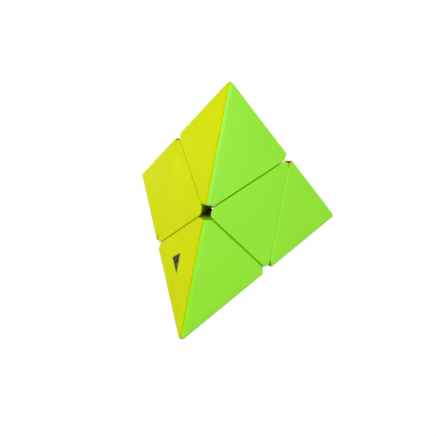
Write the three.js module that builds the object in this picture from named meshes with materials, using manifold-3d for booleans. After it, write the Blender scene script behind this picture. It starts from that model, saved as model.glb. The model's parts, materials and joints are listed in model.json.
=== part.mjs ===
// A pyramid twisty puzzle: a regular tetrahedron cut by three square-on planes through its middle into
// four tips and four face centres, which turn in halves on a hidden spherical mechanism.
//
// Two frames are used. Every piece is made in the mechanism frame, whose origin is the middle of the
// puzzle and whose X, Y and Z axes are the three twist axes, each leaving through the middle of an edge.
// The exported group turns that frame so that the pyramid stands on its blue face, apex up, with one
// edge towards -Y and the origin in the middle of the blue face. All lengths are millimetres.
import * as THREE from "three";
import { ConvexGeometry } from "three/addons/geometries/ConvexGeometry.js";
import { mergeVertices } from "three/addons/utils/BufferGeometryUtils.js";
import Module from "manifold-3d";

const wasm = await Module();
wasm.setup();

// Driving dimensions.
const EDGE = 78; // edge of the sharp tetrahedron, before its tips are rounded
const GAP = 0.3; // running clearance between pieces that turn past each other
const FIT = 0.3; // clearance between parts that are assembled into one piece
const WALL = 1.4; // wall of the coloured shells
const EDGE_ROUND = 1.2; // radius along the pyramid's six edges
const SEAM_ROUND = 0.3; // radius where a face meets a cut

// The star-shaped hole at the middle of each edge, between two tips and two face centres.
const TIP_BORE = 1.95; // from the axis to the flat end of each tip
const CENTRE_BORE_ROUND = 3.2; // radius of the face centres' corners

// The mechanism, from the outside in: cavity wall, rims, feet, core.
const CAVITY_R = 13.0;
const RIM_TOP_R = 12.6;
const RIM_UNDER_R = 10.6;
const FOOT_TOP_R = 10.2;
const FOOT_UNDER_R = 6.9;
const CORE_R = 6.5;
const RIM_CUT = 4.6; // distance from the middle of the planes that divide the rims
const FOOT_CUT = 3.3; // the same for the feet, which reach under the rims beside them

// The sprung screws.
const SHAFT_R = 0.9;
const SHAFT_HOLE_R = 1.1;
const HEAD_R = 2.05;
const HEAD_BOTTOM = 11.35;
const HEAD_TOP = 12.4;
const SCREW_TIP = 1.8;
const WASHER_T = 0.3;
const SPRING_POCKET_R = 2.4;
const SPRING_POCKET_FLOOR = 8.6;
const SPRING_R = 1.75;
const SPRING_WIRE_R = 0.22;
const SPRING_TURNS = 3;

// The round blocks at the ends of the axes: a cap over the feet around it, on a column.
const CAP_R = 4.3;
const COLUMN_R = 3.05;

// The core and the inside of the tips.
const HUB_R = 4.3;
const ARM_R = 2.3;
const PEG_R = 1.3;
const PEG_END = 9.4;
const SHOULDER = 2.4; // thickness of the curved plate that closes each tip over the mechanism
const STEM_R = 4;
const STEM_END = 29;

// Numbers that follow from them.
const HALF = EDGE / (2 * Math.SQRT2); // from the middle to the middle of an edge
const FACE = HALF / Math.sqrt(3); // from the middle to a face
const FAR = 2 * EDGE; // reach of the cutting shapes

const v = (x, y, z) => new THREE.Vector3(x, y, z);
const X = v(1, 0, 0);
const Y = v(0, 1, 0);
const Z = v(0, 0, 1);
const DIAGONAL = v(1, 1, 1).normalize();

// ---------------------------------------------------------------- solids

// A closed three.js geometry as a solid that can be joined and cut.
function solid(geometry, matrix = new THREE.Matrix4()) {
  const bare = geometry.clone().applyMatrix4(matrix);
  for (const name of Object.keys(bare.attributes)) {
    if (name !== "position") bare.deleteAttribute(name);
  }
  const merged = mergeVertices(bare, 1e-4);
  return new wasm.Manifold(
    new wasm.Mesh({
      numProp: 3,
      vertProperties: new Float32Array(merged.attributes.position.array),
      triVerts: new Uint32Array(merged.index.array),
    }),
  );
}

// A solid back as a three.js geometry, with flat-shaded faces.
function geometryOf(shape) {
  const mesh = shape.getMesh();
  const geometry = new THREE.BufferGeometry();
  geometry.setAttribute("position", new THREE.BufferAttribute(mesh.vertProperties, 3));
  geometry.setIndex(new THREE.BufferAttribute(mesh.triVerts, 1));
  const flat = geometry.toNonIndexed();
  flat.computeVertexNormals();
  return flat;
}

const sphere = (radius, detail = 3) => solid(new THREE.IcosahedronGeometry(radius, detail));

// The part of a ball between two radii.
const layer = (inner, outer) => sphere(outer).subtract(sphere(inner));

// A cylinder on the X axis, from one distance to another.
function rod(radius, from, to, sides = 16) {
  const geometry = new THREE.CylinderGeometry(radius, radius, to - from, sides);
  geometry.rotateZ(-Math.PI / 2).translate((from + to) / 2, 0, 0);
  return solid(geometry);
}

// ---------------------------------------------------------------- convex pieces

// A plane is a unit normal and a distance: a piece lies where normal . point <= distance.
const plane = (normal, distance) => ({ normal: normal.clone().normalize(), distance });

// The corners of the convex body inside the planes, each with the normals that meet there.
function corners(planes) {
  const found = [];
  const touching = 1e-7;
  for (let i = 0; i < planes.length; i++) {
    for (let j = i + 1; j < planes.length; j++) {
      for (let k = j + 1; k < planes.length; k++) {
        const [a, b, c] = [planes[i], planes[j], planes[k]];
        const rows = new THREE.Matrix3().set(...a.normal, ...b.normal, ...c.normal);
        if (Math.abs(rows.determinant()) < 1e-9) continue;
        const point = v(a.distance, b.distance, c.distance).applyMatrix3(rows.invert());
        const gap = (p) => p.distance - p.normal.dot(point);
        if (planes.some((p) => gap(p) < -touching)) continue;
        if (found.some((f) => f.point.distanceTo(point) < 1e-5)) continue;
        found.push({ point, normals: planes.filter((p) => gap(p) < touching).map((p) => p.normal) });
      }
    }
  }
  return found;
}

// The convex body inside the planes, with its edges eased by a radius.
function convex(planes, radius = 0) {
  const inset = planes.map((p) => plane(p.normal, p.distance - radius));
  const points = corners(inset).flatMap(({ point, normals }) =>
    radius ? normals.map((n) => point.clone().addScaledVector(n, radius)) : [point],
  );
  return solid(new ConvexGeometry(points));
}

// Planes that round the edge between two planes to a radius, as steps tangent to it.
function rounding(a, b, radius, steps) {
  const angle = a.normal.angleTo(b.normal);
  const axis = a.normal.clone().cross(b.normal).normalize();
  // The point on the round's axis nearest to the origin, from the two inset planes.
  const rows = new THREE.Matrix3().set(...a.normal, ...b.normal, ...axis);
  const centre = v(a.distance - radius, b.distance - radius, 0).applyMatrix3(rows.invert());
  return Array.from({ length: steps }, (_, i) => {
    const normal = a.normal.clone().applyAxisAngle(axis, (angle * (i + 1)) / (steps + 1));
    return plane(normal, normal.dot(centre) + radius);
  });
}

// The three cuts that bound the piece in one octant, held back from the middle planes.
const cuts = (sign, back) => [X, Y, Z].map((axis) => plane(axis.clone().multiplyScalar(-sign), -back));

// The flats across the three edges between a tip's cuts, held back from the axes.
const tipEnds = (back) =>
  [v(-1, -1, 0), v(0, -1, -1), v(-1, 0, -1)].map((normal) => plane(normal, -back));

// The pyramid's three faces round the apex in the +X +Y +Z octant, moved in by a wall.
const tipFaces = (inset) =>
  [v(-1, 1, 1), v(1, -1, 1), v(1, 1, -1)].map((normal) => plane(normal, FACE - inset));

// The face whose middle lies in the -X -Y -Z octant, moved in by a wall.
const centreFace = (inset) => [plane(v(-1, -1, -1), FACE - inset)];

// Planes that round all the edges between the members of one list.
function roundings(planes, radius, steps) {
  const [a, b, c] = planes;
  return [[a, b], [b, c], [c, a]].flatMap(([p, q]) => rounding(p, q, radius, steps));
}

// A box in the mechanism frame, from ranges along X, Y and Z.
const within = (x, y, z) =>
  convex([
    plane(X, x[1]),
    plane(v(-1, 0, 0), -x[0]),
    plane(Y, y[1]),
    plane(v(0, -1, 0), -y[0]),
    plane(Z, z[1]),
    plane(v(0, 0, -1), -z[0]),
  ]);

const beyond = (cut) => [cut + GAP / 2, FAR];
const across = (cut) => [GAP / 2 - cut, cut - GAP / 2];

// ---------------------------------------------------------------- the coloured pieces

// The outer form of a tip, as a solid block, with a small flat on its point.
function tipBlock() {
  const faces = tipFaces(0);
  const point = plane(DIAGONAL, 3 * FACE - 2 * EDGE_ROUND);
  return convex(
    [...cuts(1, GAP / 2), ...tipEnds(TIP_BORE), ...faces, ...roundings(faces, EDGE_ROUND, 1), point],
    SEAM_ROUND,
  );
}

// The outer form of a face centre, as a solid block.
function centreBlock() {
  const sides = cuts(-1, GAP / 2);
  return convex([...sides, ...centreFace(0), ...roundings(sides, CENTRE_BORE_ROUND, 3)], SEAM_ROUND);
}

// The hollow inside a piece's shells.
const tipHollow = (inset) =>
  convex([...cuts(1, GAP / 2 + inset), ...tipEnds(TIP_BORE + inset), ...tipFaces(inset)]);
const centreHollow = (inset) => convex([...cuts(-1, GAP / 2 + inset), ...centreFace(inset)]);

// One of a tip's three shells: the third nearest to its face with the smallest X.
function tipShell() {
  const third = convex([
    plane(v(1, -1, 0), -FIT / 2),
    plane(v(1, 0, -1), -FIT / 2),
    plane(v(-1, 0, 0), 0),
    plane(Y, FAR),
    plane(Z, FAR),
  ]);
  return tipBlock().subtract(tipHollow(WALL)).subtract(sphere(CAVITY_R)).intersect(third);
}

// The single shell of a face centre.
function centreShell() {
  return centreBlock().subtract(centreHollow(WALL)).subtract(sphere(CAVITY_R));
}

// The foot that holds a piece in the mechanism: a neck between the rims, and a wider sole under them.
function foot(sign) {
  const octant = (cut) => {
    const range = sign > 0 ? beyond(cut) : beyond(cut).map((d) => -d).reverse();
    return within(range, range, range);
  };
  const neck = layer(FOOT_UNDER_R, CAVITY_R + 0.6).intersect(octant(RIM_CUT));
  const sole = layer(FOOT_UNDER_R, FOOT_TOP_R).intersect(octant(FOOT_CUT));
  return neck.add(sole);
}

// The carrier inside a tip: a curved shoulder, a stem up into the point, and the foot.
function tipCarrier() {
  const shoulder = layer(CAVITY_R, CAVITY_R + SHOULDER).intersect(tipHollow(WALL + FIT));
  const toDiagonal = new THREE.Matrix4().makeRotationFromQuaternion(
    new THREE.Quaternion().setFromUnitVectors(Y, DIAGONAL),
  );
  const stem = new THREE.CylinderGeometry(STEM_R, STEM_R, STEM_END - CAVITY_R - 1, 12);
  stem.translate(0, (STEM_END + CAVITY_R + 1) / 2, 0);
  return shoulder.add(solid(stem, toDiagonal)).add(foot(1));
}

// The carrier inside a face centre: a plate that fills its shell, and the foot.
const centreCarrier = () => centreHollow(WALL + FIT).subtract(sphere(CAVITY_R)).add(foot(-1));

// ---------------------------------------------------------------- the mechanism

// A hidden edge between the X and Y axes: a rim over the feet beside it, and a foot of its own.
function innerEdge() {
  const rim = layer(RIM_UNDER_R, RIM_TOP_R).intersect(
    within(beyond(RIM_CUT), beyond(RIM_CUT), across(RIM_CUT)),
  );
  const neck = layer(FOOT_UNDER_R, RIM_TOP_R).intersect(
    within(beyond(RIM_CUT), beyond(RIM_CUT), across(FOOT_CUT)),
  );
  const sole = layer(FOOT_UNDER_R, FOOT_TOP_R).intersect(
    within(beyond(FOOT_CUT), beyond(FOOT_CUT), across(FOOT_CUT)),
  );
  return rim.add(neck).add(sole);
}

// The block at the end of the X axis: a round cap on a round column, so that it can spin by itself.
function axisBlock() {
  const cap = layer(RIM_UNDER_R, RIM_TOP_R).intersect(rod(CAP_R, 0, FAR));
  const column = layer(FOOT_UNDER_R, RIM_TOP_R).intersect(rod(COLUMN_R, 0, FAR));
  return cap.add(column);
}

// A block that turns on a screw, with a pocket for its spring.
const turningBlock = () =>
  axisBlock()
    .subtract(rod(SPRING_POCKET_R, SPRING_POCKET_FLOOR, FAR))
    .subtract(rod(SHAFT_HOLE_R, 0, FAR));

// A block pressed on one of the core's pegs.
const fixedBlock = () => axisBlock().subtract(rod(PEG_R + FIT, 0, PEG_END + FIT));

// A lathed part on the X axis, from [distance, radius] points.
function turned(profile, sides = 16) {
  const points = profile.map(([distance, radius]) => new THREE.Vector2(radius, distance));
  const geometry = new THREE.LatheGeometry(points, sides);
  return solid(geometry.rotateZ(-Math.PI / 2));
}

// A pan-head screw with a cross recess.
function screw() {
  const crown = 0.25;
  const body = turned([
    [SCREW_TIP, 0],
    [SCREW_TIP, 0.55],
    [SCREW_TIP + 0.6, SHAFT_R],
    [HEAD_BOTTOM, SHAFT_R],
    [HEAD_BOTTOM, HEAD_R],
    [HEAD_TOP - 0.45, HEAD_R],
    [HEAD_TOP - 0.12, HEAD_R - crown],
    [HEAD_TOP, HEAD_R - 1],
    [HEAD_TOP, 0],
  ]);
  const slot = [-0.22, 0.22];
  const reach = [-1.15, 1.15];
  const depth = [HEAD_TOP - 0.7, FAR];
  return body.subtract(within(depth, slot, reach)).subtract(within(depth, reach, slot));
}

// The flat washer under the head, which the spring pushes on.
function washer() {
  const top = HEAD_BOTTOM - 0.05;
  const hole = SHAFT_R + 0.15;
  return turned([
    [top - WASHER_T, hole],
    [top - WASHER_T, HEAD_R],
    [top, HEAD_R],
    [top, hole],
    [top - WASHER_T, hole],
  ]);
}

// A coil spring standing on the pocket's floor, up to the washer.
function spring() {
  const slack = 0.08 + SPRING_WIRE_R;
  const from = SPRING_POCKET_FLOOR + slack;
  const to = HEAD_BOTTOM - 0.05 - WASHER_T - slack;
  class Helix extends THREE.Curve {
    getPoint(t) {
      const angle = 2 * Math.PI * SPRING_TURNS * t;
      return v(from + (to - from) * t, SPRING_R * Math.cos(angle), SPRING_R * Math.sin(angle));
    }
  }
  const sides = 6;
  const rim = Array.from({ length: sides }, (_, i) =>
    new THREE.Vector2(SPRING_WIRE_R, 0).rotateAround(new THREE.Vector2(), (2 * Math.PI * i) / sides),
  );
  return solid(
    new THREE.ExtrudeGeometry(new THREE.Shape(rim), {
      extrudePath: new Helix(),
      steps: 9 * SPRING_TURNS,
      bevelEnabled: false,
    }),
  );
}

// The core: a ball with six arms, three tapped for the screws and three with pegs for the fixed blocks.
function core() {
  const coarse = 2;
  const sides = 12;
  const tap = rod(SHAFT_R + 0.15, SCREW_TIP - 0.4, FAR, sides);
  let arms = rod(PEG_R, -PEG_END, 0, sides);
  arms = arms.add(rod(ARM_R, -FAR, FAR, sides).intersect(sphere(CORE_R, coarse)));
  let body = sphere(HUB_R, coarse);
  for (const count of [0, 1, 2]) {
    body = body.add(thirdRound(arms, count));
  }
  for (const count of [0, 1, 2]) {
    body = body.subtract(thirdRound(tap, count));
  }
  return body;
}

// ---------------------------------------------------------------- placing

// The pyramid's twelve rotations: thirds of a turn about the diagonal, then half turns about X, Y or Z.
const thirdTurn = (count) => new THREE.Quaternion().setFromAxisAngle(DIAGONAL, (count * 2 * Math.PI) / 3);
const halfTurn = (axis) => new THREE.Quaternion().setFromAxisAngle(axis, axis.lengthSq() ? Math.PI : 0);

// A solid turned by thirds of a turn about the diagonal.
const thirdRound = (shape, count) =>
  shape.transform(new THREE.Matrix4().makeRotationFromQuaternion(thirdTurn(count)).elements);

// What each end of an axis is called, from the edge that it leaves through.
const AXIS_ENDS = [
  { name: "front", at: X },
  { name: "right", at: Y },
  { name: "left", at: Z },
  { name: "base_back", at: v(-1, 0, 0) },
  { name: "base_left", at: v(0, -1, 0) },
  { name: "base_right", at: v(0, 0, -1) },
];

// The four faces, from their outward normals.
const FACES = [
  { name: "blue", normal: v(-1, -1, -1) },
  { name: "red", normal: v(-1, 1, 1) },
  { name: "yellow", normal: v(1, -1, 1) },
  { name: "green", normal: v(1, 1, -1) },
];

// The four tips, each with the half turn that takes the apex there.
const TIPS = [
  { name: "top_tip", about: v(0, 0, 0) },
  { name: "front_tip", about: X },
  { name: "right_tip", about: Y },
  { name: "left_tip", about: Z },
];

const nearest = (list, key, direction) =>
  list.reduce((best, item) => (item[key].dot(direction) > best[key].dot(direction) ? item : best));

const plastic = (color) => new THREE.MeshStandardMaterial({ color, roughness: 0.45, metalness: 0 });
const steel = (color) => new THREE.MeshStandardMaterial({ color, roughness: 0.3, metalness: 1 });
const MATERIALS = {
  yellow: plastic(0xd7dc0d),
  green: plastic(0x8ee034),
  red: plastic(0xd8232f),
  blue: plastic(0x1463c8),
  carrier: plastic(0x2b2b2d),
  mechanism: plastic(0x1d1d1f),
  steel: steel(0xb4b7ba),
};

const puzzle = new THREE.Group();

// Adds one named piece, turned to its place.
function add(name, geometry, material, rotation = new THREE.Quaternion()) {
  const mesh = new THREE.Mesh(geometry, MATERIALS[material]);
  mesh.name = name;
  mesh.quaternion.copy(rotation);
  puzzle.add(mesh);
}

function addTips() {
  const carrier = geometryOf(tipCarrier());
  const shell = geometryOf(tipShell());
  for (const tip of TIPS) {
    add(`${tip.name}_carrier`, carrier, "carrier", halfTurn(tip.about));
    for (const third of [0, 1, 2]) {
      const rotation = halfTurn(tip.about).multiply(thirdTurn(third));
      const outward = v(-1, 1, 1).applyQuaternion(rotation);
      const colour = nearest(FACES, "normal", outward).name;
      add(`${tip.name}_${colour}_shell`, shell, colour, rotation);
    }
  }
}

function addFaceCentres() {
  const carrier = geometryOf(centreCarrier());
  const shell = geometryOf(centreShell());
  for (const { about } of TIPS) {
    const rotation = halfTurn(about);
    const colour = nearest(FACES, "normal", v(-1, -1, -1).applyQuaternion(rotation)).name;
    add(`${colour}_centre_carrier`, carrier, "carrier", rotation);
    add(`${colour}_centre_shell`, shell, colour, rotation);
  }
}

function addInnerEdges() {
  const edge = geometryOf(innerEdge());
  for (const { about } of TIPS) {
    for (const third of [0, 1, 2]) {
      const rotation = halfTurn(about).multiply(thirdTurn(third));
      const ends = [X, Y].map((axis) => nearest(AXIS_ENDS, "at", axis.clone().applyQuaternion(rotation)));
      ends.sort((a, b) => AXIS_ENDS.indexOf(a) - AXIS_ENDS.indexOf(b));
      add(`inner_edge_${ends[0].name}_${ends[1].name}`, edge, "mechanism", rotation);
    }
  }
}

function addAxes() {
  add("core", geometryOf(core()), "mechanism");
  const sprung = {
    block: [geometryOf(turningBlock()), "mechanism"],
    spring: [geometryOf(spring()), "steel"],
    washer: [geometryOf(washer()), "steel"],
    screw: [geometryOf(screw()), "steel"],
  };
  const fixed = geometryOf(fixedBlock());
  const back = new THREE.Quaternion().setFromAxisAngle(Z, Math.PI);
  for (const third of [0, 1, 2]) {
    const end = AXIS_ENDS[third].name;
    for (const [part, [geometry, material]] of Object.entries(sprung)) {
      add(`${end}_${part}`, geometry, material, thirdTurn(third));
    }
    add(`${AXIS_ENDS[third + 3].name}_block`, fixed, "mechanism", thirdTurn(third).multiply(back));
  }
}

addTips();
addFaceCentres();
addInnerEdges();
addAxes();

// The standing frame's axes, seen from the mechanism frame.
const up = DIAGONAL;
const away = v(-2, 1, 1).normalize();
const sideways = away.clone().cross(up);
const stand = new THREE.Matrix4().makeBasis(sideways, away, up).transpose();
puzzle.quaternion.setFromRotationMatrix(stand);
puzzle.position.z = FACE;

export default puzzle;
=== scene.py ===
"""The looks of the pyramid twisty puzzle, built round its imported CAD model.

Shapes are worked out in millimetres in the mechanism frame, whose origin is the middle of the puzzle and
whose X, Y and Z axes are the three twist axes. STAND then takes them to the row frame, in metres.
"""

import itertools
import json
import math

import bmesh
import bpy
import numpy as np
from mathutils import Matrix, Quaternion, Vector


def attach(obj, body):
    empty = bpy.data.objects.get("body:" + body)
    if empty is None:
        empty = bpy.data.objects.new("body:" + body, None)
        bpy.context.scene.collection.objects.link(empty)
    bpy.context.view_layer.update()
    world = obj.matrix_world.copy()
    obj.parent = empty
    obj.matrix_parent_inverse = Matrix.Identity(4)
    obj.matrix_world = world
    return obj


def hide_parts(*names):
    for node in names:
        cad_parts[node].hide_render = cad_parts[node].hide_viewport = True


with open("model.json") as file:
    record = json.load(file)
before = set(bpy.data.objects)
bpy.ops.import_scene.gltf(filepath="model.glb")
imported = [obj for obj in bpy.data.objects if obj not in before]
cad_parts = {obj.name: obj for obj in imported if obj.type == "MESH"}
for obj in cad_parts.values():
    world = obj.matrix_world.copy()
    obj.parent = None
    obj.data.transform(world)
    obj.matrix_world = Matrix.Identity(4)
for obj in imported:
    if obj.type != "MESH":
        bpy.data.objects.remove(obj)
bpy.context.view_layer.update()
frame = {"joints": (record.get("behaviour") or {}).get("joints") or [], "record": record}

# ---------------------------------------------------------------- sizes, in millimetres

MM = 0.001  # one millimetre in metres

SEAM = 0.03  # gap between the flanks of pieces that turn past each other
GROOVE = 0.2  # width of the groove along each seam
GROOVE_DEPTH = 0.55
JOIN = 0.05  # hairline between the shells of one tip
FIT = 0.3  # clearance round the carriers
WALL = 1.4  # of the coloured shells
EDGE_ROUND = 1.21  # radius along the pyramid's six edges
SEAM_ROUND = 0.36  # radius where a face centre meets its cuts
TIP_SEAM_ROUND = 0.7  # the same for a tip, whose edges there are blunt
EASE = 0.08  # the least radius of any edge
TIP_BORE = 2.05  # from each axis to the flats across the tips' inner corners
TIP_MOUTH = 2.1  # the same where the hole widens at the surface
FLAT_ROUND = 0.8  # radius on both sides of those flats
FLAT_END_ROUND = 0.9  # radius where those flats meet the faces
CENTRE_BORE_ROUND = 3.3  # radius of the face centres' inner corners
CENTRE_MOUTH_ROUND = 3.6  # the same at the surface
CENTRE_MOUTH_DEPTH = 2.1  # of the face centres' corners under the pyramid's edge
MOUTH_SLOPE = 0.3  # how fast the star holes widen towards the surface
FAR = 200.0  # reach of the cutting shapes

# The hidden mechanism: ball-shaped layers round the core, cut up by planes square to the axes.
GAP = 0.3  # running clearance
CAVITY_R = 13.0  # inside of the shells
RIM_TOP_R = 12.6
RIM_UNDER_R = 10.6
FOOT_TOP_R = 10.2
FOOT_UNDER_R = 6.9
CORE_R = 6.5
RIM_CUT = 4.6  # distance from the middle of the planes that divide the rims
FOOT_CUT = 3.3  # the same for the feet, which reach under the rims beside them
NECK_SUNK = 0.6  # how far the feet's necks reach into the bodies over them
SHOULDER = 2.4  # thickness of the curved plate that closes each tip over the mechanism
CARRIER_BORE = 3.65  # from each axis to the flats on the tip carriers
STEM_R = 4
STEM_START = CAVITY_R + 1
STEM_END = 29
HUB_R = 4.3
ARM_R = 2.3
PEG_R = 1.3
PEG_END = 9.4
CHAMFER = 0.12  # on the turned parts' corners
CHAMFER_ROOM = 2.2 * CHAMFER  # the shortest side that takes one
BLUNT = math.radians(150)  # corners wider than this take none

# Blocks, springs, washers and screws on the axes, with their ends as distances from the middle.
CAP_R = 4.3
COLUMN_R = 3.05
SHAFT_HOLE_R = 1.1
SHAFT_R = 0.9
SHAFT_FIT = 0.15  # round the shaft in the washer and in the core
TAP_SPARE = 0.4  # how far the core's holes go on under the screws
SCREW_TIP = 1.8
SCREW_TIP_R = 0.55
SCREW_TAPER = 0.6
THREADS = 5
THREAD_PITCH = 0.6
THREAD_DEPTH = 0.12
HEAD_R = 2.05
HEAD_BOTTOM = 11.35
HEAD_TOP = 12.4
HEAD_CROWN = ((0.45, 0), (0.26, 0.07), (0.12, 0.25), (0.03, 0.6), (0, 1))  # under the top, within the side
RECESS_HALF_WIDTH = 0.22
RECESS_REACH = 1.15
RECESS_DEPTH = 0.7
HEAD_FIT = 0.05  # between a screw's head and its washer
WASHER_TOP = HEAD_BOTTOM - HEAD_FIT
WASHER_T = 0.3
WASHER_NICK = 0.06  # chamfer round its rim
SPRING_POCKET_R = 2.4
SPRING_POCKET_FLOOR = 8.6
SPRING_R = 1.75
SPRING_WIRE_R = 0.22
SPRING_TURNS = 3
SPRING_SLACK = 0.08  # clearance at both ends

# The small printed triangle on the front tip.
MARK_AT = Vector((16.5, -18.4, -7.4))
MARK_SIDE = 6.4
MARK_HOLE = 2.2  # side of its open middle
MARK_LIFT = 0.005
MARK_T = 0.02

# ---------------------------------------------------------------- how fine the shapes are

ARC_STEP = math.radians(18)  # coarsest step round a rounded corner
EDGE_STEPS = 6  # planes that stand for each round
SEAM_STEPS = 4
FLAT_STEPS = 2
FLAT_END_STEPS = 3
BORE_STEPS = 7
DOME_STEPS = 4
SPHERE_DETAIL = 5
TURNED_SIDES = 64
ROD_SIDES = 48
COIL_STEPS = 36  # in each turn of the springs
WIRE_SIDES = 12

PARALLEL = 1e-9  # planes whose normals span less than this don't meet
TOUCHING = 1e-6  # millimetres within which a corner lies on a plane
SAME_POINT = 1e-5  # millimetres within which two corners are one
WELD = 1e-4  # the same for the points of a finished solid
LEVEL = math.radians(0.05)  # faces that bend less than this become one
SHARP = math.radians(35)  # edges that bend more than this are shaded sharp
FLATS_RULE = 100  # the large flats alone set the shading of the rounds beside them

# ---------------------------------------------------------------- the frame's own geometry

joints = {joint["name"]: joint for joint in frame["joints"]}
centre = Vector(joints["front_half_twist"]["pos_m"])
AXIS_JOINTS = ("front_half_twist", "right_block_spin", "left_block_spin")
axes = Matrix([joints[name]["axis"] for name in AXIS_JOINTS]).transposed()
STAND = Matrix.Translation(centre) @ axes.to_4x4() @ Matrix.Scale(MM, 4)

record = frame["record"]
body_of_node = {node: body for body, nodes in record["behaviour"]["bodies"].items() for node in nodes}

FACE = centre.z / MM  # from the middle of the puzzle to each face
HALF = FACE * math.sqrt(3)  # from the middle to the middle of each edge

X, Y, Z = Vector((1, 0, 0)), Vector((0, 1, 0)), Vector((0, 0, 1))
DIAGONAL = Vector((1, 1, 1)).normalized()
AXIS_ENDS = {"front": X, "right": Y, "left": Z, "base_back": -X, "base_left": -Y, "base_right": -Z}
FACES = {  # the way each face looks
    "blue": Vector((-1, -1, -1)),
    "red": Vector((-1, 1, 1)),
    "yellow": Vector((1, -1, 1)),
    "green": Vector((1, 1, -1)),
}
# Each tip, with the axis of the half turn that takes the top tip to it.
TIPS = {"top_tip": None, "front_tip": X, "right_tip": Y, "left_tip": Z}


def third_turn(count):
    return Quaternion(DIAGONAL, count * 2 * math.pi / 3)


def half_turn(axis):
    return Quaternion(axis, math.pi) if axis else Quaternion()


# ---------------------------------------------------------------- solids


def add_object(name, data):
    made = bpy.data.objects.new(name, data)
    bpy.context.scene.collection.objects.link(made)
    return made


def discard(piece):
    mesh = piece.data
    bpy.data.objects.remove(piece)
    bpy.data.meshes.remove(mesh)


def combine(first, second, operation):
    """first joined with, cut by or kept within second, which is used up."""
    modifier = first.modifiers.new("combine", "BOOLEAN")
    modifier.operation = operation
    modifier.solver = "MANIFOLD"
    modifier.object = second
    depsgraph = bpy.context.evaluated_depsgraph_get()
    result = bpy.data.meshes.new_from_object(first.evaluated_get(depsgraph))
    first.modifiers.clear()
    first.data = result
    discard(second)
    return first


def union(first, *others):
    for other in others:
        combine(first, other, "UNION")
    return first


def minus(first, *others):
    for other in others:
        combine(first, other, "DIFFERENCE")
    return first


def inside(first, *others):
    for other in others:
        combine(first, other, "INTERSECT")
    return first


def from_bmesh(shape):
    mesh = bpy.data.meshes.new("solid")
    shape.to_mesh(mesh)
    shape.free()
    return add_object("solid", mesh)


def sphere(radius):
    shape = bmesh.new()
    bmesh.ops.create_icosphere(shape, subdivisions=SPHERE_DETAIL, radius=radius)
    return from_bmesh(shape)


def layer(inner, outer):
    """The part of a ball between two radii."""
    return minus(sphere(outer), sphere(inner))


def turned(profile, sides=TURNED_SIDES):
    """A lathed solid on the X axis, from a profile of [distance, radius] points.

    The profile starts and ends on the axis, or else it ends where it starts.
    """
    shape = bmesh.new()
    rings = []
    for distance, radius in profile:
        if radius == 0:
            rings.append([shape.verts.new((distance, 0, 0))] * sides)
            continue
        angles = [2 * math.pi * i / sides for i in range(sides)]
        circle = [(distance, radius * math.cos(angle), radius * math.sin(angle)) for angle in angles]
        rings.append([shape.verts.new(point) for point in circle])
    closed = profile[0] == profile[-1]
    if closed:
        for vertex in rings.pop():
            shape.verts.remove(vertex)
        rings.append(rings[0])
    for low, high in zip(rings, rings[1:]):
        for i in range(sides):
            j = (i + 1) % sides
            face = list(dict.fromkeys((low[i], low[j], high[j], high[i])))
            if len(face) > 2:
                shape.faces.new(face)
    bmesh.ops.recalc_face_normals(shape, faces=shape.faces)
    return from_bmesh(shape)


def eased(profile):
    """The profile with a small chamfer on every clear corner."""
    closed = profile[0] == profile[-1]
    ring = profile[:-1] if closed else profile
    cut = []
    for i, point in enumerate(ring):
        if not closed and i in (0, len(ring) - 1):
            cut.append(point)
            continue
        here = Vector(point)
        before = Vector(ring[i - 1]) - here
        after = Vector(ring[(i + 1) % len(ring)]) - here
        if before.angle(after) > BLUNT or min(before.length, after.length) < CHAMFER_ROOM:
            cut.append(point)
            continue
        cut.append(list(here + before.normalized() * CHAMFER))
        cut.append(list(here + after.normalized() * CHAMFER))
    return cut + cut[:1] if closed else cut


def rod_outline(radius, start, end):
    return [[start, 0], [start, radius], [end, radius], [end, 0]]


def rod(radius, start, end):
    return turned(rod_outline(radius, start, end), ROD_SIDES)


def eased_rod(radius, start, end):
    return turned(eased(rod_outline(radius, start, end)))


def third_round(make):
    """Three of a solid, one about each twist axis."""
    made = []
    for count in range(3):
        piece = make()
        piece.data.transform(third_turn(count).to_matrix().to_4x4())
        made.append(piece)
    return made


# ---------------------------------------------------------------- convex solids


def plane(normal, distance):
    """A piece lies where normal . point <= distance."""
    return np.array(Vector(normal).normalized()), distance


def corners(planes):
    """The corners of the convex body inside the planes, each with the normals that meet there."""
    normals = np.array([normal for normal, _ in planes])
    distances = np.array([distance for _, distance in planes])
    triples = np.array(list(itertools.combinations(range(len(planes)), 3)))
    triples = triples[abs(np.linalg.det(normals[triples])) > PARALLEL]
    points = np.linalg.solve(normals[triples], distances[triples][..., None])[..., 0]
    gaps = distances - points @ normals.T
    kept = (gaps > -TOUCHING).all(axis=1)
    found = []
    for point, gap in zip(points[kept], gaps[kept]):
        if all(np.linalg.norm(point - other) > SAME_POINT for other, _ in found):
            found.append((point, normals[gap < TOUCHING]))
    return found


def directions_between(normals):
    """Unit vectors that cover the corner of a ball between three or more normals."""
    cover = []
    for a, b, c in itertools.combinations(normals, 3):
        widest = min(a @ b, b @ c, c @ a)
        steps = max(1, math.ceil(math.acos(max(-1.0, widest)) / ARC_STEP))
        for i in range(steps + 1):
            for j in range(steps + 1 - i):
                direction = i * a + j * b + (steps - i - j) * c
                cover.append(direction / np.linalg.norm(direction))
    return cover


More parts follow.
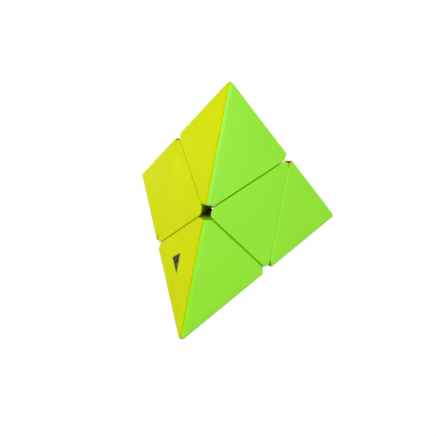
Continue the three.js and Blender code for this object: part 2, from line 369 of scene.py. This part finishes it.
def convex(planes, radius=0.0):
    """The convex body inside the planes, with its edges eased by a radius."""
    points = []
    for point, normals in corners([(normal, distance - radius) for normal, distance in planes]):
        if radius:
            points.extend(point + radius * direction for direction in directions_between(normals))
        else:
            points.append(point)
    shape = bmesh.new()
    for point in points:
        shape.verts.new(point)
    bmesh.ops.remove_doubles(shape, verts=shape.verts, dist=SAME_POINT)
    hull = bmesh.ops.convex_hull(shape, input=shape.verts, use_existing_faces=False)
    spare = {v for v in hull["geom_interior"] + hull["geom_unused"] if isinstance(v, bmesh.types.BMVert)}
    bmesh.ops.delete(shape, geom=list(spare), context="VERTS")
    bmesh.ops.recalc_face_normals(shape, faces=shape.faces)
    return from_bmesh(shape)


def within(x, y, z):
    """A box in the mechanism frame, from ranges along X, Y and Z."""
    sides = [plane(axis, high) for axis, (_, high) in zip((X, Y, Z), (x, y, z))]
    sides += [plane(-axis, -low) for axis, (low, _) in zip((X, Y, Z), (x, y, z))]
    return convex(sides)


def pairs(planes):
    a, b, c = planes
    return (a, b), (b, c), (c, a)


def rounding(a, b, radius, steps):
    """Planes tangent to the round between two planes."""
    (normal_a, distance_a), (normal_b, distance_b) = a, b
    angle = math.acos(normal_a @ normal_b)
    axis = np.cross(normal_a, normal_b)
    axis /= np.linalg.norm(axis)
    middle = np.linalg.solve([normal_a, normal_b, axis], [distance_a - radius, distance_b - radius, 0])
    made = []
    for i in range(1, steps + 1):
        turn = Quaternion(Vector(axis), angle * i / (steps + 1))
        normal = np.array(turn @ Vector(normal_a))
        made.append((normal, normal @ middle + radius))
    return made


def roundings(planes, radius, steps):
    return [made for p, q in pairs(planes) for made in rounding(p, q, radius, steps)]


def point_rounding(planes, radius, steps):
    """Planes tangent to the ball that rounds the corner of three planes."""
    normals = [normal for normal, _ in planes]
    middle = np.linalg.solve(normals, [distance - radius for _, distance in planes])
    made = []
    for i in range(1, steps):
        for j in range(1, steps - i):
            normal = i * normals[0] + j * normals[1] + (steps - i - j) * normals[2]
            normal /= np.linalg.norm(normal)
            made.append((normal, normal @ middle + radius))
    return made


# ---------------------------------------------------------------- planes of the tips and face centres


def cuts(sign, back):
    """The cuts beside a tip (sign 1) or a face centre (sign -1), held back from the middle."""
    return [plane(-sign * axis, -back) for axis in (X, Y, Z)]


def tip_faces(inset=0.0):
    return [plane(normal, FACE - inset) for normal in ((-1, 1, 1), (1, -1, 1), (1, 1, -1))]


def centre_face(inset=0.0):
    return [plane((-1, -1, -1), FACE - inset)]


def bore_flats(sides, back):
    """Flats across the edges between a tip's cut planes, held back from the axes."""
    return [plane(p[0] + q[0], -back) for p, q in pairs(sides)]


def widened(bore_plane, sign, depth):
    """A plane along an axis, tilted so that the hole widens outwards from a depth under the edge."""
    normal, distance = bore_plane
    outward = np.where(abs(normal) < PARALLEL, sign * MOUTH_SLOPE, 0.0)
    length = np.linalg.norm(normal + outward)
    return (normal + outward) / length, (distance + MOUTH_SLOPE * (HALF - depth)) / length


# ---------------------------------------------------------------- the coloured shells


def tip_block(gaps, sunk):
    """A tip's outer form, with the width of the gap along each cut, and with its faces sunk by a depth."""
    sides = [plane(-axis, -gap / 2) for axis, gap in zip((X, Y, Z), gaps)]
    faces = tip_faces(sunk)
    planes = sides + faces + bore_flats(sides, TIP_BORE)
    planes += roundings(faces, EDGE_ROUND, EDGE_STEPS) + point_rounding(faces, EDGE_ROUND, EDGE_STEPS)
    mouths = [widened(flat, 1, EDGE_ROUND) for flat in bore_flats(sides, TIP_MOUTH)]
    planes += mouths
    for pair, mouth, across_edge in zip(pairs(sides), mouths, pairs(faces)):
        for side in pair:
            planes += rounding(side, mouth, FLAT_ROUND, FLAT_STEPS)
        for face in across_edge:
            planes += rounding(face, mouth, FLAT_END_ROUND, FLAT_END_STEPS)
    for face in faces:
        for side in sides:
            if face[0] @ side[0] > 0:
                planes += rounding(face, side, TIP_SEAM_ROUND, SEAM_STEPS)
    return convex(planes, EASE)


def centre_block(gap, sunk):
    """The same for a face centre."""
    sides = cuts(-1, gap / 2)
    face = centre_face(sunk)
    seams = [made for side in sides for made in rounding(face[0], side, SEAM_ROUND, SEAM_STEPS)]
    bores = roundings(sides, CENTRE_BORE_ROUND, BORE_STEPS)
    corners_at_mouth = roundings(sides, CENTRE_MOUTH_ROUND, BORE_STEPS)
    mouths = [widened(made, -1, CENTRE_MOUTH_DEPTH) for made in corners_at_mouth]
    return convex(sides + face + seams + bores + mouths, EASE)


def tip_shell(groove):
    """The third of a tip nearest to its face with the smallest X, whose only seam is the cut across X."""
    inner_sides = cuts(1, FIT / 2 + WALL)
    hollow = convex(inner_sides + tip_faces(WALL) + bore_flats(inner_sides, TIP_BORE + WALL))
    block = union(tip_block([groove, GROOVE, GROOVE], 0), tip_block([SEAM] * 3, GROOVE_DEPTH))
    third = convex([
        plane((1, -1, 0), -JOIN / 2),
        plane((1, 0, -1), -JOIN / 2),
        plane(-X, 0),
        plane(Y, FAR),
        plane(Z, FAR),
    ])
    return inside(minus(block, hollow, sphere(CAVITY_R)), third)


def centre_hollow(inset):
    return convex(cuts(-1, FIT / 2 + inset) + centre_face(inset))


def centre_shell(groove):
    block = union(centre_block(groove, 0), centre_block(SEAM, GROOVE_DEPTH))
    return minus(block, centre_hollow(WALL), sphere(CAVITY_R))


# ---------------------------------------------------------------- the hidden mechanism


def octant(sign, cut):
    reach = sorted((sign * (cut + GAP / 2), sign * FAR))
    return within(reach, reach, reach)


def foot(sign):
    neck = inside(layer(FOOT_UNDER_R, CAVITY_R + NECK_SUNK), octant(sign, RIM_CUT))
    sole = inside(layer(FOOT_UNDER_R, FOOT_TOP_R), octant(sign, FOOT_CUT))
    return union(neck, sole)


def tip_carrier():
    sides = cuts(1, GAP / 2 + WALL + FIT)
    room = convex(sides + tip_faces(WALL + FIT) + bore_flats(cuts(1, 0), CARRIER_BORE))
    shoulder = inside(layer(CAVITY_R, CAVITY_R + SHOULDER), room)
    stem = eased_rod(STEM_R, STEM_START, STEM_END)
    stem.data.transform(X.rotation_difference(DIAGONAL).to_matrix().to_4x4())
    return union(shoulder, stem, foot(1))


def centre_carrier():
    return union(minus(centre_hollow(WALL + FIT), sphere(CAVITY_R)), foot(-1))


def inner_edge():
    beyond_rim, beyond_foot = (RIM_CUT + GAP / 2, FAR), (FOOT_CUT + GAP / 2, FAR)
    across_rim, across_foot = [(GAP / 2 - cut, cut - GAP / 2) for cut in (RIM_CUT, FOOT_CUT)]
    rim = inside(layer(RIM_UNDER_R, RIM_TOP_R), within(beyond_rim, beyond_rim, across_rim))
    neck = inside(layer(FOOT_UNDER_R, RIM_TOP_R), within(beyond_rim, beyond_rim, across_foot))
    sole = inside(layer(FOOT_UNDER_R, FOOT_TOP_R), within(beyond_foot, beyond_foot, across_foot))
    return union(rim, neck, sole)


def dome(radius, start, end):
    """Profile points along a ball about the origin, between two distances from the X axis."""
    reaches = [start + (end - start) * i / DOME_STEPS for i in range(DOME_STEPS + 1)]
    return [[math.sqrt(radius * radius - reach * reach), reach] for reach in reaches]


def block_outline(hole_r):
    """The outside of a block on an axis, from its hole in the underside to the pocket's radius on top."""
    under = dome(FOOT_UNDER_R, hole_r, COLUMN_R)
    cap = dome(RIM_UNDER_R, COLUMN_R, CAP_R)
    return under + cap + dome(RIM_TOP_R, CAP_R, SPRING_POCKET_R)


def turning_block():
    pocket = [[SPRING_POCKET_FLOOR, SPRING_POCKET_R], [SPRING_POCKET_FLOOR, SHAFT_HOLE_R]]
    outline = block_outline(SHAFT_HOLE_R)
    return turned(eased(outline + pocket + outline[:1]))


def fixed_block():
    """A block with no pocket, whose blind hole takes one of the core's pegs."""
    bottom = [PEG_END + FIT, PEG_R + FIT]
    top = dome(RIM_TOP_R, SPRING_POCKET_R, 0)[1:]
    return turned(eased([[bottom[0], 0], bottom] + block_outline(PEG_R + FIT) + top))


def screw():
    """A pan-head screw with rolled threads and a cross recess."""
    shaft = [[SCREW_TIP, 0], [SCREW_TIP, SCREW_TIP_R], [SCREW_TIP + SCREW_TAPER, SHAFT_R]]
    for i in range(1, THREADS + 1):
        crest = SCREW_TIP + SCREW_TAPER + i * THREAD_PITCH
        shaft += [[crest - THREAD_PITCH / 2, SHAFT_R - THREAD_DEPTH], [crest, SHAFT_R]]
    head = [[HEAD_BOTTOM, SHAFT_R], [HEAD_BOTTOM, HEAD_R]]
    head += [[HEAD_TOP - under, HEAD_R - within_side] for under, within_side in HEAD_CROWN]
    width = (-RECESS_HALF_WIDTH, RECESS_HALF_WIDTH)
    reach = (-RECESS_REACH, RECESS_REACH)
    depth = (HEAD_TOP - RECESS_DEPTH, FAR)
    recess = union(within(depth, width, reach), within(depth, reach, width))
    return minus(turned(shaft + head + [[HEAD_TOP, 0]]), recess)


def washer():
    hole = SHAFT_R + SHAFT_FIT
    low, high = WASHER_TOP - WASHER_T, WASHER_TOP
    return turned([
        [low, hole],
        [low, HEAD_R - WASHER_NICK],
        [low + WASHER_NICK, HEAD_R],
        [high - WASHER_NICK, HEAD_R],
        [high, HEAD_R - WASHER_NICK],
        [high, hole],
        [low, hole],
    ])


def spring():
    """A coil from the pocket's floor up to the washer, as one closed tube."""
    slack = SPRING_SLACK + SPRING_WIRE_R
    start = SPRING_POCKET_FLOOR + slack
    end = WASHER_TOP - WASHER_T - slack
    steps = COIL_STEPS * SPRING_TURNS
    shape = bmesh.new()
    rings = []
    for i in range(steps + 1):
        angle = 2 * math.pi * SPRING_TURNS * i / steps
        outward = Vector((0, math.cos(angle), math.sin(angle)))
        middle = SPRING_R * outward + X * (start + (end - start) * i / steps)
        ring = []
        for j in range(WIRE_SIDES):
            about = 2 * math.pi * j / WIRE_SIDES
            aside = math.cos(about) * outward + math.sin(about) * X
            ring.append(shape.verts.new(middle + SPRING_WIRE_R * aside))
        rings.append(ring)
    for low, high in zip(rings, rings[1:]):
        for j in range(WIRE_SIDES):
            k = (j + 1) % WIRE_SIDES
            shape.faces.new((low[j], low[k], high[k], high[j]))
    shape.faces.new(rings[0])
    shape.faces.new(rings[-1])
    bmesh.ops.recalc_face_normals(shape, faces=shape.faces)
    return from_bmesh(shape)


def core():
    """A ball with six arms, bored for the three screws and with pegs for the three fixed blocks."""

    def arms():
        shaft = inside(rod(ARM_R, -FAR, FAR), sphere(CORE_R))
        return union(shaft, eased_rod(PEG_R, -PEG_END, 0))

    def tap():
        return rod(SHAFT_R + SHAFT_FIT, SCREW_TIP - TAP_SPARE, FAR)

    return minus(union(sphere(HUB_R), *third_round(arms)), *third_round(tap))


# ---------------------------------------------------------------- materials


def srgb(hex_code):
    """Linear colour from a hex code."""
    channels = [int(hex_code[i : i + 2], 16) / 255 for i in (0, 2, 4)]
    return [c / 12.92 if c <= 0.04045 else ((c + 0.055) / 1.055) ** 2.4 for c in channels] + [1]


class Nodes:
    """Short calls for a material's node tree, with noise scales per metre and bump distances in metres."""

    def __init__(self, name):
        self.material = bpy.data.materials.new(name)
        self.material.use_nodes = True
        self.tree = self.material.node_tree
        self.shader = self.tree.nodes["Principled BSDF"]
        self.coordinates = self.tree.nodes.new("ShaderNodeTexCoord").outputs["Object"]

    def link(self, source, target):
        self.tree.links.new(source, target)

    def noise(self, scale, detail):
        made = self.tree.nodes.new("ShaderNodeTexNoise")
        made.inputs["Scale"].default_value = scale
        made.inputs["Detail"].default_value = detail
        self.link(self.coordinates, made.inputs["Vector"])
        return made.outputs["Fac"]

    def spread(self, source, low, high):
        """A noise's usual values, 0.3 to 0.7, mapped to low to high."""
        made = self.tree.nodes.new("ShaderNodeMapRange")
        for name, value in (("From Min", 0.3), ("From Max", 0.7), ("To Min", low), ("To Max", high)):
            made.inputs[name].default_value = value
        self.link(source, made.inputs["Value"])
        return made.outputs["Result"]

    def mix(self, factor, first, second):
        made = self.tree.nodes.new("ShaderNodeMix")
        made.data_type = "RGBA"
        self.link(factor, made.inputs["Factor"])
        for value, slot in ((first, "A"), (second, "B")):
            socket = next(s for s in made.inputs if s.name == slot and s.type == "RGBA")
            socket.default_value = value
        return next(s for s in made.outputs if s.type == "RGBA")

    def bump(self, height, strength, distance, after=None):
        made = self.tree.nodes.new("ShaderNodeBump")
        made.inputs["Strength"].default_value = strength
        made.inputs["Distance"].default_value = distance
        self.link(height, made.inputs["Height"])
        if after:
            self.link(after, made.inputs["Normal"])
        return made.outputs["Normal"]

    def set(self, **values):
        """Sets or links the shader's inputs, whose names have _ for each space."""
        for name, value in values.items():
            socket = self.shader.inputs[name.replace("_", " ")]
            if isinstance(value, bpy.types.NodeSocket):
                self.link(value, socket)
            else:
                socket.default_value = value


PLASTIC_ROUGHNESS = 0.34
PLASTIC_IOR = 1.4
YELLOW_IOR = 1.08  # a weak and tinted gloss, so that the yellow stays pure where it faces a light
YELLOW_GLEAM = "ffff20"


def moulded_plastic(name, light, dark, ior=PLASTIC_IOR, gleam="ffffff"):
    """Satin moulded plastic: a faint drift of colour, a fine grain and slight unevenness in gloss."""
    nodes = Nodes(name)
    drift = nodes.spread(nodes.noise(45, detail=2), 0, 1)
    colour = nodes.mix(drift, srgb(dark), srgb(light))
    gloss = nodes.spread(nodes.noise(160, detail=4), PLASTIC_ROUGHNESS - 0.04, PLASTIC_ROUGHNESS + 0.05)
    grain = nodes.bump(nodes.noise(5200, detail=2), 0.04, 0.00001)
    waviness = nodes.bump(nodes.noise(90, detail=1), 0.04, 0.0002, after=grain)
    nodes.set(Base_Color=colour, Roughness=gloss, Normal=waviness, IOR=ior, Specular_Tint=srgb(gleam))
    return nodes.material


def matte(name, light, dark):
    """The nylon of the hidden mechanism, whose olive is painted shade, and printed ink: dark and matte,
    with a fine grain.
    """
    nodes = Nodes(name)
    patches = nodes.spread(nodes.noise(300, detail=4), 0, 1)
    grain = nodes.bump(nodes.noise(3000, detail=3), 0.25, 0.00003)
    nodes.set(Base_Color=nodes.mix(patches, srgb(dark), srgb(light)), Roughness=0.55, Normal=grain)
    return nodes.material


def plated_steel():
    """Bright zinc plate with a faint mottle and a fine grain."""
    nodes = Nodes("steel")
    mottle = nodes.spread(nodes.noise(1800, detail=4), 0, 1)
    gloss = nodes.spread(nodes.noise(5000, detail=3), 0.18, 0.34)
    grain = nodes.bump(nodes.noise(9000, detail=2), 0.15, 0.00001)
    colour = nodes.mix(mottle, srgb("a9adb0"), srgb("d2d5d8"))
    nodes.set(Base_Color=colour, Metallic=1.0, Roughness=gloss, Normal=grain)
    return nodes.material


MATERIALS = {
    "yellow_plastic": moulded_plastic("yellow_plastic", "a3b300", "9eae00", YELLOW_IOR, YELLOW_GLEAM),
    "green_plastic": moulded_plastic("green_plastic", "87d71c", "83d319"),
    "red_plastic": moulded_plastic("red_plastic", "bc1c28", "b61824"),
    "blue_plastic": moulded_plastic("blue_plastic", "155fc4", "125abc"),
    "carrier_plastic": matte("carrier_plastic", "303033", "29292b"),
    # The mechanism's olive is painted shade: it stands in for the dim, shaded yellow seen deep in the star
    # holes, where the blocks show.
    "mechanism_plastic": matte("mechanism_plastic", "5c5618", "4f4a14"),
    "steel": plated_steel(),
    "ink": matte("ink", "0e0e0e", "060606"),
}

# ---------------------------------------------------------------- the pieces


def template(piece):
    """Merges flat areas, and shades the rounds smoothly and the flats flat."""
    shape = bmesh.new()
    shape.from_mesh(piece.data)
    bmesh.ops.remove_doubles(shape, verts=shape.verts, dist=WELD)
    bmesh.ops.dissolve_limit(shape, angle_limit=LEVEL, verts=shape.verts, edges=shape.edges)
    shape.to_mesh(piece.data)
    shape.free()
    piece.data.shade_smooth()
    piece.data.set_sharp_from_angle(angle=SHARP)
    return piece


def place(pattern, node, rotation, material):
    """A copy of a pattern, turned to its place in the row frame, that stands for a CAD node."""
    piece = add_object(f"{node}_fine", pattern.data.copy())
    piece.data.transform(STAND @ rotation.to_matrix().to_4x4())
    piece.data.materials.clear()
    piece.data.materials.append(MATERIALS[material])
    weighted = piece.modifiers.new("flats", "WEIGHTED_NORMAL")
    weighted.keep_sharp = True
    weighted.weight = FLATS_RULE
    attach(piece, body_of_node[node])
    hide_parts(node)


def colour_at(direction):
    return max(FACES, key=lambda colour: FACES[colour].dot(direction))


def ends_at(*directions):
    """The names of the axis ends that lie in some directions, in their usual order."""
    found = [max(AXIS_ENDS, key=lambda end: AXIS_ENDS[end].dot(direction)) for direction in directions]
    return sorted(found, key=list(AXIS_ENDS).index)


def groove_of(colour):
    """The yellow shells sit tight against each other; the others have a groove between them."""
    return SEAM if colour == "yellow" else GROOVE


def make_tips():
    shells = {groove: template(tip_shell(groove)) for groove in (SEAM, GROOVE)}
    carrier = template(tip_carrier())
    for tip, about in TIPS.items():
        place(carrier, f"{tip}_carrier", half_turn(about), "carrier_plastic")
        for count in range(3):
            turn = half_turn(about) @ third_turn(count)
            colour = colour_at(turn @ Vector((-1, 1, 1)))
            place(shells[groove_of(colour)], f"{tip}_{colour}_shell", turn, f"{colour}_plastic")
    for spent in (*shells.values(), carrier):
        discard(spent)


def make_face_centres():
    shells = {groove: template(centre_shell(groove)) for groove in (SEAM, GROOVE)}
    carrier = template(centre_carrier())
    for about in TIPS.values():
        colour = colour_at(half_turn(about) @ Vector((-1, -1, -1)))
        place(shells[groove_of(colour)], f"{colour}_centre_shell", half_turn(about), f"{colour}_plastic")
        place(carrier, f"{colour}_centre_carrier", half_turn(about), "carrier_plastic")
    for spent in (*shells.values(), carrier):
        discard(spent)


def make_inner_edges():
    edge = template(inner_edge())
    for about in TIPS.values():
        for count in range(3):
            turn = half_turn(about) @ third_turn(count)
            first, second = ends_at(turn @ X, turn @ Y)
            place(edge, f"inner_edge_{first}_{second}", turn, "mechanism_plastic")
    discard(edge)


def make_core():
    made = template(core())
    place(made, "core", Quaternion(), "mechanism_plastic")
    discard(made)


def make_screwed_ends():
    parts = {
        "block": (turning_block, "mechanism_plastic"),
        "spring": (spring, "steel"),
        "washer": (washer, "steel"),
        "screw": (screw, "steel"),
    }
    for part, (make, material) in parts.items():
        made = template(make())
        for count in range(3):
            end, = ends_at(third_turn(count) @ X)
            place(made, f"{end}_{part}", third_turn(count), material)
        discard(made)


def make_pegged_ends():
    made = template(fixed_block())
    for count in range(3):
        turn = third_turn(count) @ half_turn(Z)
        end, = ends_at(turn @ X)
        place(made, f"{end}_block", turn, "mechanism_plastic")
    discard(made)


def triangle(side):
    """A thin triangular plate that lies on the front tip's yellow face."""
    outward = FACES["yellow"].normalized()
    upward = DIAGONAL - outward * outward.dot(DIAGONAL)
    planes = [plane(outward, FACE + MARK_LIFT + MARK_T), plane(-outward, -FACE - MARK_LIFT)]
    middle_to_side = side / (2 * math.sqrt(3))
    for degrees in (60, 180, 300):
        normal = Quaternion(outward, math.radians(degrees)) @ upward.normalized()
        planes.append(plane(normal, normal.dot(MARK_AT) + middle_to_side))
    return convex(planes)


def make_mark():
    mark = minus(triangle(MARK_SIDE), triangle(MARK_HOLE))
    mark.name = "front_tip_mark"
    mark.data.transform(STAND)
    mark.data.materials.clear()
    mark.data.materials.append(MATERIALS["ink"])
    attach(mark, body_of_node["front_tip_yellow_shell"])


make_tips()
make_face_centres()
make_inner_edges()
make_core()
make_screwed_ends()
make_pegged_ends()
make_mark()

# ---------------------------------------------------------------- floor, light and camera, in metres

CAMERA_AZIMUTH = math.radians(12.64)  # round from straight in front of the puzzle
CAMERA_ELEVATION = math.radians(37.64)
CAMERA_ROLL = math.radians(3.61)
CAMERA_AIM = Vector((-0.00268, 0.00966, 0.02891))
CAMERA_DISTANCE = 0.17129
CAMERA_LENS = 42.62  # millimetres, as is the sensor
CAMERA_SENSOR = 36
CAMERA_SHIFT = (-0.0135, -0.15)
CAMERA_CLIP = (0.005, 20)

FLOOR_REACH = 3
AMBIENT = 0.26  # the studio's light from all round; the backdrop itself looks white
WHITE = (1, 1, 1)

# Each soft light's place, width, power in watts, and colour.
SOFTBOXES = {
    "overhead": ((0.0, -0.13, 0.34), 0.16, 0.68, WHITE),
    "front": ((0.04, -0.46, 0.36), 0.12, 0.75, WHITE),
    "right": ((0.40, -0.10, 0.06), 0.2, 0.9, WHITE),
    "side": ((-0.20, -0.06, 0.09), 0.1, 0.48, (1.0, 0.86, 0.4)),
    "left": ((-0.42, -0.36, 0.24), 0.12, 0.3, (1.0, 1.0, 0.5)),
    "back": ((0.08, 0.48, 0.30), 0.2, 2.2, WHITE),
}


def make_camera():
    data = bpy.data.cameras.new("camera")
    data.lens = CAMERA_LENS
    data.sensor_width = CAMERA_SENSOR
    data.shift_x, data.shift_y = CAMERA_SHIFT
    data.clip_start, data.clip_end = CAMERA_CLIP
    camera = add_object("camera", data)
    back = Vector((
        math.sin(CAMERA_AZIMUTH) * math.cos(CAMERA_ELEVATION),
        -math.cos(CAMERA_AZIMUTH) * math.cos(CAMERA_ELEVATION),
        math.sin(CAMERA_ELEVATION),
    ))
    turn = back.to_track_quat("Z", "Y") @ Quaternion(Z, CAMERA_ROLL)
    camera.matrix_world = Matrix.LocRotScale(CAMERA_AIM + back * CAMERA_DISTANCE, turn, None)
    bpy.context.scene.camera = camera


def make_softbox(name, place_at, width, power, colour):
    data = bpy.data.lights.new(name, "AREA")
    data.color = colour
    data.shape = "DISK"
    data.size = width
    data.energy = power
    light = add_object(name, data)
    light.location = place_at
    light.rotation_euler = (Vector(place_at) - centre).to_track_quat("Z", "Y").to_euler()


def make_floor():
    """A floor that catches the light but looks as white as the backdrop."""
    mesh = bpy.data.meshes.new("floor")
    sides = ((-1, -1), (1, -1), (1, 1), (-1, 1))
    mesh.from_pydata([(x * FLOOR_REACH, y * FLOOR_REACH, 0) for x, y in sides], [], [(0, 1, 2, 3)])
    floor = add_object("floor", mesh)
    nodes = Nodes("floor")
    nodes.set(Base_Color=srgb("a0a0a0"), Roughness=0.9, Specular_IOR_Level=0.1)
    tree = nodes.tree
    shown = tree.nodes.new("ShaderNodeEmission")
    choice = tree.nodes.new("ShaderNodeMixShader")
    nodes.link(tree.nodes.new("ShaderNodeLightPath").outputs["Is Camera Ray"], choice.inputs["Fac"])
    nodes.link(nodes.shader.outputs["BSDF"], choice.inputs[1])
    nodes.link(shown.outputs["Emission"], choice.inputs[2])
    nodes.link(choice.outputs["Shader"], tree.nodes["Material Output"].inputs["Surface"])
    mesh.materials.append(nodes.material)


def make_world():
    world = bpy.data.worlds.new("studio")
    world.use_nodes = True
    tree = world.node_tree
    seen = tree.nodes.new("ShaderNodeLightPath").outputs["Is Camera Ray"]
    strength = tree.nodes.new("ShaderNodeMapRange")
    strength.inputs["To Min"].default_value = AMBIENT
    strength.inputs["To Max"].default_value = 1.0
    tree.links.new(seen, strength.inputs["Value"])
    background = tree.nodes["Background"]
    background.inputs["Color"].default_value = (*WHITE, 1)
    tree.links.new(strength.outputs["Result"], background.inputs["Strength"])
    bpy.context.scene.world = world
    bpy.context.scene.view_settings.view_transform = "Standard"


make_camera()
make_floor()
make_world()
for name, settings in SOFTBOXES.items():
    make_softbox(name, *settings)
